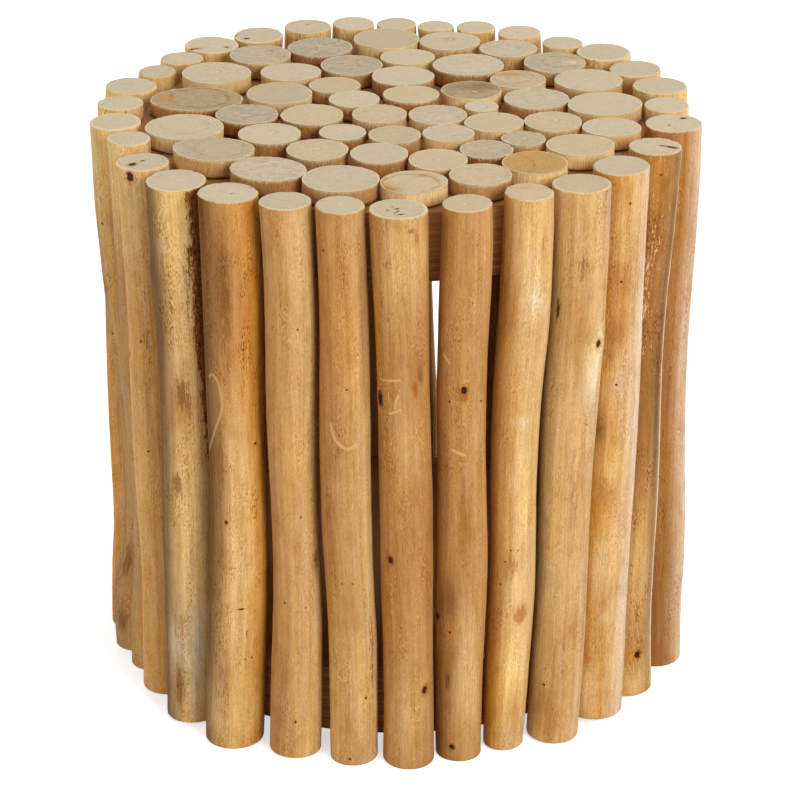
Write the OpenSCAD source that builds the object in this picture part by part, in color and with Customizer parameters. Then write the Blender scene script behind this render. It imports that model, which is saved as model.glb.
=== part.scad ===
// Round log stool. A ring of peeled branch posts stands on the floor. The posts
// are nailed from inside to two round frames, each a plywood board screwed to a
// plywood hoop. Short branch slices are glued side by side on the upper board
// and make the seat, level with the sawn tops of the posts.

/* [Posts] */
// Height from the floor to the sawn tops
post_height = 420; // [360:5:500]
// Middling diameter, to which the cut list adds or takes away
post_d = 36; // [32:1:44]
// One step of the cut list, by which posts and slices differ from each other
cut_step = 1; // [0.5:0.1:1.2]
// Mean open gap between neighbours
post_gap = 4; // [3:0.5:10]
// Rise and fall of the thickness along a branch
post_wave = 0.5; // [0:0.1:1]
// How much flatter a branch is one way than the other, in hundredths
post_oval = 5; // [0:1:8]
// Clearance between a post and the hoops that it is nailed to
post_clear = 0.3; // [0.1:0.1:1]
// Worn rounding at the foot
foot_round = 1.5; // [0.5:0.5:3]
// Sanded rounding at the top
top_round = 1; // [0.5:0.5:2]

/* [Frames] */
// Thickness of a board
board_t = 14; // [9:1:20]
// Height of a hoop
hoop_h = 36; // [30:1:60]
// Radial width of a hoop
hoop_w = 22; // [16:1:40]
// Depth of the upper board's face below the post tops
seat_drop = 11; // [8:1:20]
// Space under the lower hoop
floor_gap = 9; // [8:1:40]

/* [Slices] */
// Thickness of the thinnest slice
slice_t = 11; // [8:1:20]
// Depth of the notches in a slice's outline, in hundredths of its radius
slice_wave = 2; // [0:1:4]

/* [Fixings] */
// Shank diameter of a nail
nail_d = 2.4; // [1.6:0.2:3.4]
// Diameter of a nail's head
nail_head_d = 6; // [5:0.5:8]
// Thickness of a nail's head
nail_head_t = 1.2; // [0.8:0.1:2]
// How deep a nail goes into a post
nail_bite = 16; // [8:1:18]
// Height of the nails above the underside of their hoop
nail_rise = 10; // [8:1:12]
// Number of screws that hold a board to its hoop
screw_count = 8; // [4:1:12]
// Shank diameter of a screw
screw_d = 4; // [3:0.5:5]
// Diameter of a screw's countersunk head
screw_head_d = 8; // [7:0.5:10]
// Height of a screw's countersunk head
screw_head_t = 4; // [3:0.5:5]
// How deep a screw goes into the hoop
screw_bite = 14; // [8:1:16]
// Clearance of nails and screws in their holes
fix_clear = 0.05; // [0.02:0.01:0.2]

/* [Hidden] */
sides = 14;
slice_points = 30;
mid_rings = 8;
cut_past = 1;

// The cut list goes round the stool from the left of the front, past the front,
// and back by the right and the rear. A row is one post: the steps that it adds
// to post_d at the top, the middle and the foot; the share of open gap before
// the next post at the top, the middle and the foot; how many steps the post
// stands above post_height, and how many it ends short of the floor; and the
// steps of its bow, inwards if above zero.
cut_list = [
    [3, -4, -4, 4, 3, 5, 0, 8, 8],
    [-4, -6, -7, 2, 2, 2, 1, 10, 3],
    [1, 0, -1, 6, 5, 1, -4, 8, 1],
    [7, 5, 4, 4, 3, 1, -3, 3, 0],
    [6, 6, 9, 4, 5, 8, -1, 0, 0],
    [1, -2, 1, 3, 3, 8, 0, 1, 0],
    [-1, 0, -2, 2, 4, 3, 1, 0, 0],
    [3, 1, 2, 9, 3, 1, 0, 0, 0],
    [-1, -1, -2, 10, 4, 4, 1, 0, 0],
    [-1, -1, -6, 5, 6, 5, 3, 1, 0],
    [5, 2, 2, 1, 1, 1, 1, 1, 0],
    [4, 5, 4, 12, 1, 7, 3, 6, 0],
    [1, 1, 3, 14, 7, 11, 1, 4, 0],
    [5, 4, 8, 2, 6, 4, 0, 5, -1],
    [-1, 0, 1, 2, 4, 4, 0, 2, -2],
    [5, 4, 2, 5, 4, 2, 1, 1, 2],
    [2, 3, 4, 1, 4, 3, 0, 0, -1],
    [6, 3, 2, 1, 2, 2, 1, 3, 2],
    [-5, -4, -3, 8, 3, 2, 1, 0, 1],
    [-1, 0, -2, 3, 5, 2, 1, 2, -3],
    [-5, -6, -3, 2, 2, 3, 1, 0, 0],
    [-9, -8, -6, 1, 7, 5, 0, 4, 2],
    [-5, -4, -4, 1, 5, 5, 0, 1, -2],
    [-2, -2, 0, 1, 4, 9, 1, 0, 3],
    [1, 2, 1, 3, 7, 7, 1, 2, 0],
    [3, 1, 2, 1, 4, 8, -1, 0, -1],
    [5, 3, 2, 1, 6, 6, -1, 3, 2],
    [-4, -3, -5, 4, 5, 8, -1, 1, 1],
    [-6, -5, -4, 1, 7, 7, -1, 0, -2],
    [3, 4, 1, 5, 5, 7, -2, 3, 3],
    [-3, -4, -2, 8, 6, 8, -1, 6, 2],
];
// Places of the last three values in a row
rise_at = 6;
lift_at = 7;
bow_at = 8;
post_count = len(cut_list);
// The post that faces the front, and the angle that it stands at, counted from
// the front towards the right, at the top, the middle and the foot
front_post = 8;
front_angle = [1, 2.5, 3.2];
// Beginning of the lengths along which waves and ovals turn from post to post
wave_turn = 77;
wave_count = 1.7;
oval_turn = 53;
oval_twist = 60;
// Below 1, this puts the deepest point of a bow under the middle of the post
bow_sag = 0.5;

// The plan of the slices, which is drawn as large as the board is. A row is one
// slice: its place to the right and to the rear of the middle, its width and
// depth, the angle that it is turned by, and the steps that it adds to slice_t.
// The outer row comes first, round from the front, and then the middle of the
// seat and its centre.
edge_slices = [
    [14, -153, 47, 44, 20, 1],
    [60, -141, 43, 43, 0, 2],
    [98, -115, 45, 47, 30, 1],
    [131, -79, 48, 44, 0, 1],
    [155, -42, 42, 39, 0, 1],
    [153, 8, 55, 50, 20, 1],
    [144, 58, 50, 49, 0, 2],
    [121, 101, 46, 47, 0, 1],
    [87, 131, 43, 41, 0, 2],
    [43, 149, 46, 44, 0, 2],
    [-5, 155, 50, 50, 0, 2],
    [-55, 137, 49, 45, 10, 1],
    [-100, 116, 46, 45, 0, 2],
    [-131, 74, 51, 49, 0, 2],
    [-143, 21, 67, 50, 0, 0],
    [-148, -42, 56, 54, 0, 1],
    [-125, -93, 58, 47, -15, 3],
    [-86, -130, 54, 46, -25, 2],
    [-36, -149, 53, 52, 0, 2],
];
middle_slices = [
    [31, -109, 41, 43, 0, 1],
    [65, -88, 37, 37, 0, 1],
    [92, -66, 31, 30, 0, 1],
    [114, -33, 41, 42, 0, 2],
    [104, 19, 47, 46, 0, 1],
    [92, 62, 41, 41, 0, 1],
    [56, 93, 53, 50, 0, 2],
    [11, 114, 41, 38, 0, 1],
    [-31, 95, 46, 46, 0, 1],
    [-76, 79, 45, 41, 0, 1],
    [-83, 31, 48, 48, 0, 1],
    [-105, -15, 45, 42, 0, 1],
    [-87, -59, 44, 44, 0, 2],
    [-53, -89, 43, 44, 0, 1],
    [-10, -99, 40, 42, 0, 2],
];
centre_slices = [
    [1, -58, 37, 37, 0, 1],
    [39, -57, 37, 36, 0, 2],
    [72, -35, 42, 42, 0, 2],
    [64, 2, 24, 24, 0, 1],
    [57, 35, 44, 41, 10, 2],
    [7, 67, 46, 44, 0, 2],
    [-43, 52, 38, 36, 0, 0],
    [-28, 18, 37, 37, 0, 1],
    [13, 23, 41, 38, 0, 3],
    [32, -16, 42, 42, 0, 1],
    [-10, -17, 39, 40, 0, 2],
    [-58, -16, 45, 45, 0, 1],
    [-36, -50, 33, 34, 0, 0],
];

// The outline of slice i of the plan: an oval with three soft corners
function slice_outline(row, i) = [
    for (k = [0:slice_points - 1])
        let (
            a = 360 * k / slice_points,
            r = 1 - slice_wave / 200 * (1 - cos(3 * a + wave_turn * i)),
            x = row[2] / 2 * r * cos(a),
            y = row[3] / 2 * r * sin(a)
        )
        [
            row[0] + x * cos(row[4]) - y * sin(row[4]),
            row[1] + x * sin(row[4]) + y * cos(row[4])
        ]
];

// How far the plan reaches from the middle
plan_r = max([
    for (i = [1:len(edge_slices)])
        for (p = slice_outline(edge_slices[i - 1], i)) norm(p)
]);

// Heights above the floor
upper_board_z = post_height - seat_drop - board_t;
upper_hoop_z = upper_board_z - hoop_h;
lower_hoop_z = floor_gap;
lower_board_z = lower_hoop_z + hoop_h;
lower_top_z = lower_board_z + board_t;
upper_nail_z = upper_hoop_z + nail_rise;
lower_nail_z = lower_hoop_z + nail_rise;

function sum(v, i = 0) = i == len(v) ? 0 : v[i] + sum(v, i + 1);

// A value that goes through its foot, middle and top on one smooth curve; share
// is 0 at the floor and 1 at the top
function along(top, middle, foot, share) =
    foot * (1 - share) * (1 - 2 * share)
    + middle * 4 * share * (1 - share)
    + top * share * (2 * share - 1);

// The radius of post i at height z, before its oval is taken off
function post_r(i, z) =
    let (row = cut_list[i], share = z / post_height)
    (post_d + cut_step * along(row[0], row[1], row[2], share)) / 2
    + post_wave * sin(360 * wave_count * share + wave_turn * i);

// The share of that radius that is left in the direction turned by a from the
// line to the middle of the stool
function section(i, z, a) =
    1 - post_oval / 200 * (1 - cos(2 * (a + oval_turn * i + oval_twist * z / post_height)));

// How far post i bows out at height z. It bows between the lower board and the
// upper hoop and lies against the frames there and beyond.
function bow_out(i, z) =
    let (
        share = (z - lower_top_z) / (upper_hoop_z - lower_top_z),
        held = max(0, min(1, share))
    )
    -cut_step * cut_list[i][bow_at] * sin(180 * pow(held, bow_sag));

// The boards and hoops are as wide as the ring of posts closes round them, by
// the thickest of the three heights
mean_add = max([for (k = [0:2]) sum([for (row = cut_list) row[k]]) / post_count]);
mean_d = post_d + cut_step * mean_add;
ring_r = (mean_d + post_gap) / 2 / sin(180 / post_count);
frame_r = ring_r - mean_d / 2 - post_clear;

// Distance of the backs of the nail heads from the middle of the stool
nail_seat = sqrt(pow(frame_r - hoop_w, 2) - pow(nail_head_d / 2, 2)) - fix_clear;

// Distance of post i from the middle of the stool at height z
function reach(i, z) = frame_r + post_clear + post_r(i, z) * section(i, z, 0) + bow_out(i, z);

// The angle between posts i and i + 1 at height z if they touched
function touch_angle(i, z) =
    let (
        j = (i + 1) % post_count,
        a = reach(i, z),
        b = reach(j, z),
        apart = post_r(i, z) + post_r(j, z)
    )
    acos((a * a + b * b - apart * apart) / (2 * a * b));

function gap_share(i, z) =
    let (row = cut_list[i]) along(row[3], row[4], row[5], z / post_height);

// The angles that all posts stand at, at height z: what the touching posts leave
// of the full circle is dealt out by the cut list's gaps
function ring_angles(z) =
    let (
        touch = [for (i = [0:post_count - 1]) touch_angle(i, z)],
        gaps = [for (i = [0:post_count - 1]) gap_share(i, z)],
        spare = (360 - sum(touch)) / sum(gaps),
        turns = [for (i = 0, a = 0; i < post_count; a = a + touch[i] + gaps[i] * spare, i = i + 1) a],
        front = along(front_angle[0], front_angle[1], front_angle[2], z / post_height)
    )
    [for (a = turns) a - turns[front_post - 1] + front];

// Heights at which the posts are drawn, where they meet the frames and between
ring_z = [
    lower_top_z,
    for (k = [1:mid_rings]) lower_top_z + (upper_hoop_z - lower_top_z) * k / (mid_rings + 1),
    upper_hoop_z,
    upper_board_z + board_t,
];
post_turns = [for (z = ring_z) ring_angles(z)];
foot_turns = ring_angles(0);
top_turns = ring_angles(post_height);
upper_nail_turns = ring_angles(upper_nail_z);
lower_nail_turns = ring_angles(lower_nail_z);

// One ring of points round post i: the shape of height z, at angle turn, drawn
// at height at and shrunk by less
function post_ring(i, z, turn, at, less) = [
    for (k = [0:sides - 1])
        let (
            a = 360 * k / sides,
            r = post_r(i, z) * section(i, z, a) - less,
            out = reach(i, z) - r * cos(a),
            side = r * sin(a)
        )
        [
            out * sin(turn) + side * cos(turn),
            -out * cos(turn) + side * sin(turn),
            at
        ]
];

// Rings of points, lowest first, joined into one closed solid
module loft(rings) {
    n = len(rings[0]);
    last = len(rings) - 1;
    polyhedron(
        points = [for (ring = rings) for (p = ring) p],
        faces = [
            [for (k = [0:n - 1]) k],
            [for (k = [n - 1:-1:0]) last * n + k],
            for (j = [0:last - 1]) for (k = [0:n - 1])
                let (m = (k + 1) % n)
                each [
                    [j * n + k, (j + 1) * n + m, j * n + m],
                    [j * n + k, (j + 1) * n + k, (j + 1) * n + m]
                ]
        ]
    );
}

// Turns its children from the front to angle turn round the stool
module at_angle(turn) {
    rotate([0, 0, turn]) children();
}

// The hole of a nail at height z, out from inside the hoop, for the post at turn
module nail_hole(turn, z, end) {
    at_angle(turn)
        translate([0, -end, z])
            rotate([-90, 0, 0])
                cylinder(h = end - frame_r + hoop_w + cut_past, d = nail_d + 2 * fix_clear, $fn = 24);
}

// One nail: the rim of its head touches the inner face of the hoop
module nail(turn, z) {
    at_angle(turn)
        translate([0, -nail_seat, z])
            rotate([90, 0, 0]) {
                translate([0, 0, -nail_head_t])
                    cylinder(h = nail_head_t, d = nail_head_d, $fn = 24);
                cylinder(h = frame_r + nail_bite - nail_seat, d = nail_d, $fn = 24);
            }
}

// One screw, countersunk into the top of a board at height z; grow widens it
// for its hole
module screw(k, z, grow) {
    at_angle(360 * (k + 0.5) / screw_count)
        translate([0, -frame_r + hoop_w / 2, z]) {
            translate([0, 0, -board_t - screw_bite - grow])
                cylinder(h = board_t + screw_bite + grow, d = screw_d + 2 * grow, $fn = 24);
            translate([0, 0, -screw_head_t])
                cylinder(h = screw_head_t, d1 = screw_d + 2 * grow, d2 = screw_head_d + 2 * grow, $fn = 24);
        }
}

module slice(row, i) {
    translate([0, 0, upper_board_z + board_t])
        linear_extrude(slice_t + cut_step * row[5])
            polygon(frame_r / plan_r * slice_outline(row, i));
}

// Post i of the ring, counted from 1
module post(i) {
    n = i - 1;
    foot = cut_step * cut_list[n][lift_at];
    top = post_height + cut_step * cut_list[n][rise_at];
    rings = [
        post_ring(n, 0, foot_turns[n], foot, foot_round),
        post_ring(n, 0, foot_turns[n], foot + foot_round, 0),
        for (k = [0:len(ring_z) - 1]) post_ring(n, ring_z[k], post_turns[k][n], ring_z[k], 0),
        post_ring(n, post_height, top_turns[n], top - top_round, 0),
        post_ring(n, post_height, top_turns[n], top, top_round),
    ];
    color(i % 3 == 0 ? "peru" : i % 3 == 1 ? "burlywood" : "sandybrown")
        difference() {
            loft(rings);
            nail_hole(upper_nail_turns[n], upper_nail_z, frame_r + nail_bite);
            nail_hole(lower_nail_turns[n], lower_nail_z, frame_r + nail_bite);
        }
}

// Slice i of the outer row, counted from 1
module edge_slice(i) {
    color(i % 2 == 0 ? "wheat" : "antiquewhite") slice(edge_slices[i - 1], i);
}

module slices_middle() {
    color("wheat")
        for (i = [0:len(middle_slices) - 1]) slice(middle_slices[i], i);
}

module slices_centre() {
    color("antiquewhite")
        for (i = [0:len(centre_slices) - 1]) slice(centre_slices[i], i);
}

module board(z) {
    difference() {
        translate([0, 0, z]) cylinder(h = board_t, r = frame_r, $fn = 120);
        for (k = [0:screw_count - 1]) screw(k, z + board_t, fix_clear);
    }
}

module hoop(z, turns, nail_z) {
    difference() {
        translate([0, 0, z]) cylinder(h = hoop_h, r = frame_r, $fn = 120);
        translate([0, 0, z - cut_past])
            cylinder(h = hoop_h + 2 * cut_past, r = frame_r - hoop_w, $fn = 120);
        for (turn = turns) nail_hole(turn, nail_z, frame_r + cut_past);
        for (k = [0:screw_count - 1]) screw(k, z + hoop_h + board_t, fix_clear);
    }
}

module upper_board() {
    color("tan") board(upper_board_z);
}

module upper_hoop() {
    color("rosybrown") hoop(upper_hoop_z, upper_nail_turns, upper_nail_z);
}

module lower_board() {
    color("tan") board(lower_board_z);
}

module lower_hoop() {
    color("rosybrown") hoop(lower_hoop_z, lower_nail_turns, lower_nail_z);
}

module upper_nails() {
    color("gray") for (turn = upper_nail_turns) nail(turn, upper_nail_z);
}

module lower_nails() {
    color("gray") for (turn = lower_nail_turns) nail(turn, lower_nail_z);
}

module upper_screws() {
    color("darkgray")
        for (k = [0:screw_count - 1]) screw(k, upper_board_z + board_t, 0);
}

module lower_screws() {
    color("darkgray")
        for (k = [0:screw_count - 1]) screw(k, lower_top_z, 0);
}

function numbered(name, i) = str(name, i < 10 ? "0" : "", i);

for (i = [1:post_count])
    post(i);
for (i = [1:len(edge_slices)])
    edge_slice(i);
slices_middle();
slices_centre();
upper_board();
upper_hoop();
lower_board();
lower_hoop();
upper_nails();
lower_nails();
upper_screws();
lower_screws();
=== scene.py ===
"""The looks of a round log stool: peeled branch posts round a seat of sawn slices."""

import math

import bpy
import numpy as np
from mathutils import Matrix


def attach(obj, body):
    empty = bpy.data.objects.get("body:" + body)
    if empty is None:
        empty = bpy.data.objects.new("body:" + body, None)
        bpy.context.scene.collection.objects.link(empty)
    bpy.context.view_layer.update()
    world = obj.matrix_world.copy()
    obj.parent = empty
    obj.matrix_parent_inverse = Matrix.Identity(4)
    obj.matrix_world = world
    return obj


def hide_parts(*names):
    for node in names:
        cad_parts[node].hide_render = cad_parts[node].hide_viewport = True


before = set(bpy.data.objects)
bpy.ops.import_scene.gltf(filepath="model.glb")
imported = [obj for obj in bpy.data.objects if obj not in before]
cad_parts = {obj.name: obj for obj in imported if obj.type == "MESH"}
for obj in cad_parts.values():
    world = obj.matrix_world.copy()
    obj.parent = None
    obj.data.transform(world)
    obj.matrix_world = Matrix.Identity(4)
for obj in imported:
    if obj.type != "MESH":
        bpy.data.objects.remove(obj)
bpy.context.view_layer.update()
MM = 0.001
# Height of the upper board's face, which the slices stand on
BOARD_TOP = max(corner[2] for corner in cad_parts["upper_board"].bound_box)
POST_COUNT = 31
EDGE_SLICE_COUNT = 19
# Corners of each ring of a CAD post
POST_SIDES = 14
# Columns of points round a dressed post and a dressed slice
POST_COLUMNS = 104
SLICE_COLUMNS = 132
# Further from a mark than any look reaches, in its half widths or in millimetres
FAR = 9.0
# How far the rows beside a scar go past it and how close they are, in millimetres
SCAR_MARGIN = 2
SCAR_STEP = 0.7
# Most millimetres from a slice's middle to its place in SLICE_LOOKS
SLICE_REACH = 6
# One turn, in radians, from growth ring to growth ring
RING_TURN = 6.283
WHITE = (1, 1, 1, 1)
# Kinds of ray that the floor and the room look white to
SEEN_BY = ("Camera", "Glossy", "Transmission")


# Tones of wood, as red, green and blue from 0 to 255
TONES = {
    "cream": (228, 208, 166),
    "bone": (203, 187, 158),
    "beige": (195, 176, 145),
    "grey": (190, 174, 147),
    "biscuit": (184, 160, 122),
    "ochre": (190, 151, 92),
    "sand": (203, 181, 146),
    # butter is lightened partly as painted light, for slice walls that neighbouring slices and
    # posts shade
    "butter": (238, 200, 134),
    "straw": (220, 181, 120),
    "wheat": (212, 172, 114),
    "fawn": (184, 136, 82),
    "honey": (210, 160, 96),
    "amber": (198, 138, 56),
    "tan": (193, 145, 88),
    "clay": (176, 122, 64),
    "rust": (164, 92, 36),
    "umber": (134, 88, 44),
    "bark": (78, 42, 16),
    "russet": (178, 114, 58),
    "ash": (164, 128, 84),
    "slate": (106, 70, 34),
    "ecru": (204, 168, 126),
    # shell: pale, on the right edges of posts 12 to 14, partly as painted reflection of grazing
    # light
    "shell": (216, 188, 160),
    "rose": (206, 152, 102),
    "pear": (226, 190, 130),
}

# One row for each post: its tones on the left, in front and on the right, and
# how strongly it is mottled. A left tone darker than the front is partly the wood
# and partly painted shade on the side turned from the key light, and the pale right
# tone shell is partly painted reflection of light grazing the right edge
POST_LOOKS = {
    1: ("ash", "honey", "clay", 0.7),
    2: ("ash", "honey", "ash", 0.5),
    3: ("honey", "honey", "honey", 0.35),
    4: ("slate", "straw", "straw", 1.1),
    5: ("slate", "honey", "amber", 1.0),
    6: ("fawn", "tan", "wheat", 0.35),
    7: ("clay", "fawn", "wheat", 0.45),
    8: ("clay", "fawn", "fawn", 0.6),
    9: ("clay", "fawn", "tan", 0.4),
    10: ("amber", "wheat", "wheat", 0.4),
    11: ("straw", "wheat", "ecru", 0.5),
    12: ("amber", "honey", "shell", 0.35),
    13: ("tan", "clay", "ash", 0.9),
    14: ("clay", "clay", "shell", 0.5),
}
# Posts whose fronts show: the others grow paler towards the top
FRONT_POSTS = range(4, 15)
WARM_TOPS = (9, 10, 11)
CLEAN_TONES = ("cream", "sand", "straw", "shell", "pear")
REAR_TONES = ("tan", "honey", "straw", "clay", "rose", "amber")

# Soft patches of another tone on a post: post, height, direction that they face
# counted from the front towards the right, half width, half height, tone, amount
PATCHES = (
    (3, 330, 25, 7, 80, "amber", 0.5),
    (3, 60, 0, 14, 60, "tan", 0.5),
    (4, 330, -62, 9, 110, "slate", 0.9),
    (4, 395, 2, 9, 34, "straw", 1.5),
    (4, 335, 6, 5, 40, "straw", 1.2),
    (4, 110, 26, 9, 90, "straw", 1.5),
    (4, 60, 10, 8, 40, "sand", 1.2),
    (4, 250, -8, 9, 50, "clay", 0.6),
    (4, 180, 8, 11, 50, "straw", 0.9),
    (4, 66, -32, 9, 22, "sand", 0.8),
    (5, 380, -50, 9, 50, "umber", 0.9),
    (5, 350, -5, 12, 80, "clay", 0.8),
    (5, 235, -48, 6, 70, "umber", 0.6),
    (5, 225, 10, 10, 40, "straw", 0.5),
    (5, 130, 5, 12, 70, "straw", 0.9),
    (5, 30, 0, 20, 30, "straw", 0.8),
    (6, 240, 10, 9, 50, "honey", 0.4),
    (6, 249, -43, 6, 8, "rose", 0.5),
    (7, 350, 0, 12, 70, "amber", 0.4),
    (7, 360, 58, 6, 70, "umber", 0.6),
    (7, 40, -50, 10, 70, "honey", 1.2),
    (7, 220, -28, 6, 8, "rose", 0.6),
    (7, 70, 20, 10, 60, "straw", 0.5),
    (8, 390, 10, 18, 40, "straw", 0.8),
    (8, 250, 10, 8, 20, "straw", 0.5),
    (8, 300, 35, 9, 60, "clay", 0.6),
    (8, 150, 0, 14, 70, "clay", 0.5),
    (8, 190, 62, 7, 70, "clay", 1.0),
    (8, 40, -5, 14, 40, "straw", 0.5),
    (9, 60, -50, 10, 60, "umber", 0.8),
    (9, 180, -5, 12, 50, "clay", 0.6),
    (9, 132, -30, 6, 17, "umber", 0.9),
    (9, 84, -22, 5, 14, "umber", 0.7),
    (9, 70, 25, 9, 50, "straw", 0.7),
    (10, 385, -5, 14, 40, "straw", 0.9),
    (10, 270, -15, 9, 40, "honey", 0.7),
    (10, 352, 22, 6, 10, "cream", 0.7),
    (10, 262, 6, 6, 4, "cream", 0.5),
    (10, 342, -44, 6, 26, "clay", 0.8),
    (10, 250, -40, 6, 50, "clay", 0.8),
    (10, 100, -40, 6, 60, "clay", 0.7),
    (10, 200, 20, 7, 50, "straw", 0.8),
    (10, 140, 14, 7, 16, "butter", 0.8),
    (10, 100, -12, 5, 14, "honey", 0.7),
    (10, 66, 10, 8, 26, "butter", 0.9),
    (10, 30, 24, 5, 18, "honey", 0.8),
    (10, 50, -42, 6, 44, "amber", 1.1),
    (11, 297, 47, 6, 20, "cream", 2.2),
    (11, 100, -50, 8, 160, "pear", 1.0),
    (11, 330, 0, 14, 60, "tan", 0.7),
    (11, 316, 18, 6, 9, "clay", 0.5),
    (11, 60, 5, 14, 60, "tan", 0.7),
    (11, 92, 28, 6, 14, "clay", 0.7),
    (11, 30, -30, 8, 16, "clay", 0.6),
    (12, 350, -5, 12, 22, "clay", 0.9),
    (12, 308, 5, 6, 11, "clay", 1.1),
    (12, 316, -18, 5, 18, "clay", 1.2),
    (12, 290, -10, 3, 8, "umber", 0.6),
    (12, 236, -28, 6, 12, "umber", 1.0),
    (12, 190, -5, 7, 14, "clay", 1.0),
    (12, 30, -20, 10, 30, "straw", 1.0),
    (12, 300, -45, 6, 90, "amber", 0.6),
    (12, 88, 10, 4, 5, "cream", 0.7),
    (12, 378, 14, 9, 20, "wheat", 0.8),
    (12, 270, 14, 8, 14, "ecru", 0.9),
    (12, 254, -36, 5, 14, "clay", 0.8),
    (12, 205, 16, 8, 15, "straw", 1.0),
    (12, 172, -26, 7, 14, "amber", 0.9),
    (12, 130, 6, 11, 26, "straw", 1.0),
    (12, 62, -34, 6, 14, "amber", 0.7),
    (13, 300, 0, 12, 120, "umber", 0.7),
    (13, 250, 50, 5, 150, "slate", 0.8),
    # Painted reflection: a pale strip all down the right edge of post 13, where light grazes it
    (13, 220, 74, 2, 400, "shell", 1.2),
    (13, 400, -10, 9, 20, "amber", 0.7),
    (13, 110, 16, 11, 60, "wheat", 0.9),
    (13, 14, 10, 14, 18, "straw", 0.9),
    (14, 60, 5, 14, 90, "umber", 0.4),
)

# Streaky stains on a post, in the same order
STAINS = (
    (1, 83, -43, 5, 18, "umber", 0.9),
    (1, 35, -42, 6, 14, "umber", 0.8),
    (3, 290, -10, 5, 40, "umber", 0.45),
    (4, 266, -8, 6, 15, "umber", 0.85),
    (4, 258, 4, 3, 13, "umber", 0.7),
    (4, 198, -24, 4, 9, "umber", 0.9),
    (4, 35, -28, 4, 20, "umber", 0.85),
    (4, 345, 14, 3, 40, "umber", 0.5),
    (4, 350, -32, 3, 30, "umber", 0.6),
    (5, 355, -16, 8, 55, "umber", 0.8),
    (5, 225, -34, 4, 50, "umber", 0.65),
    (5, 150, -36, 4, 50, "umber", 0.65),
    (5, 50, -25, 9, 30, "umber", 0.4),
    (6, 155, 56, 5, 12, "umber", 0.7),
    (7, 90, 52, 3, 55, "umber", 0.6),
    (7, 370, -5, 8, 30, "clay", 0.5),
    (7, 120, 5, 10, 40, "clay", 0.45),
    (8, 411, 27, 4.2, 1.8, "russet", 1.0),
    (8, 405, 37, 1.8, 6, "russet", 0.9),
    (8, 295, 27, 2.6, 6, "rust", 1.1),
    (8, 304, 40, 3, 9, "umber", 0.8),
    (8, 386, -27, 4, 9, "umber", 0.45),
    (8, 285, -62, 4, 7, "bark", 1.1),
    (8, 165, -36, 6, 8, "umber", 0.6),
    (8, 330, -70, 6, 60, "amber", 0.8),
    (9, 118, -50, 4, 24, "umber", 0.85),
    (9, 128, -29, 4, 14, "umber", 0.8),
    (9, 196, -8, 7, 7, "clay", 0.7),
    (9, 66, -29, 2.6, 9, "slate", 0.9),
    (9, 50, -60, 5, 50, "umber", 0.9),
    (9, 20, -16, 3, 8, "russet", 0.7),
    (9, 285, 4, 3, 4, "rust", 1.0),
    (10, 388, 33, 3.5, 18, "russet", 0.55),
    (10, 273, -42, 4, 18, "russet", 0.6),
    (10, 112, 25, 6, 8, "russet", 1.0),
    (10, 150, -8, 8, 14, "clay", 0.7),
    (11, 366, 5, 5, 16, "umber", 0.55),
    (11, 330, -5, 14, 50, "clay", 0.5),
    (11, 335, -48, 1.6, 8, "bark", 1.0),
    (11, 200, 20, 9, 60, "clay", 0.5),
    (11, 20, -10, 14, 25, "clay", 0.6),
    (12, 330, -24, 6, 50, "amber", 0.6),
    (12, 305, -6, 4, 9, "umber", 0.5),
    (12, 232, -20, 4, 8, "umber", 0.5),
    (12, 54, -20, 5, 5, "russet", 0.6),
    (13, 320, -10, 8, 50, "honey", 0.5),
    (13, 200, -10, 9, 70, "umber", 0.6),
    (13, 38, 12, 6, 6, "amber", 0.9),
    (14, 250, -5, 12, 120, "umber", 0.4),
)

# Ragged strips of dark inner bark: post, then points of height and of the
# directions of the left and the right edge
STRIPS = (
    (4, (
        (425, 24, 90), (387, 25, 90), (335, 24, 85), (303, 25, 80),
        (285, 29, 75), (248, 36, 70), (215, 42, 50), (190, 50, 40),
    )),
)

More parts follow.
